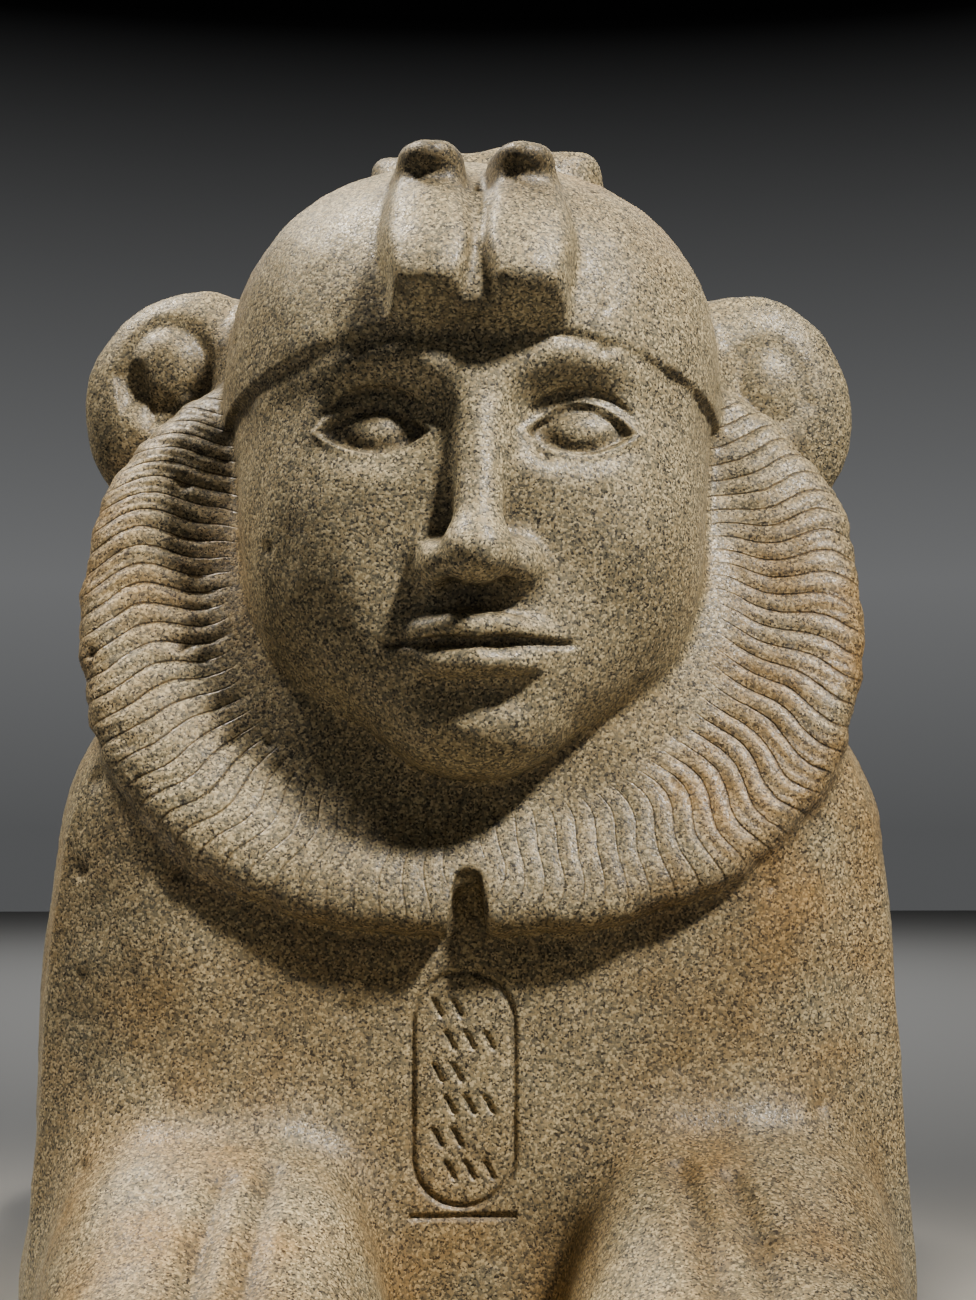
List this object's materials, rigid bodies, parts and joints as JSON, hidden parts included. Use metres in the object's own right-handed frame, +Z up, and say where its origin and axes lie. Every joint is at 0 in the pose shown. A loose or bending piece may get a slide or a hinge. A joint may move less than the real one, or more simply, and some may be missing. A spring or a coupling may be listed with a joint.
{
  "type": "recumbent maned sphinx statue",
  "caption": "Small granite sphinx lying on a low plinth, with a maned lion's body, a calm human head in a smooth cap, cobras on the brow and round lion's ears",
  "frame": {"origin": "centre of the plinth's underside", "axes": "+Z up; the sphinx looks along -Y; +X is on the right as seen from its front"},
  "size_m": [0.284, 0.735, 0.3799],
  "materials": {
    "granite": "Speckled granite gneiss, carved and rubbed smooth, with black, cream and grey grains, ochre patches, worn edges and shallow pits"
  },
  "bodies": {
    "root": {"sphinx": "granite"}
  },
  "joints": []
}
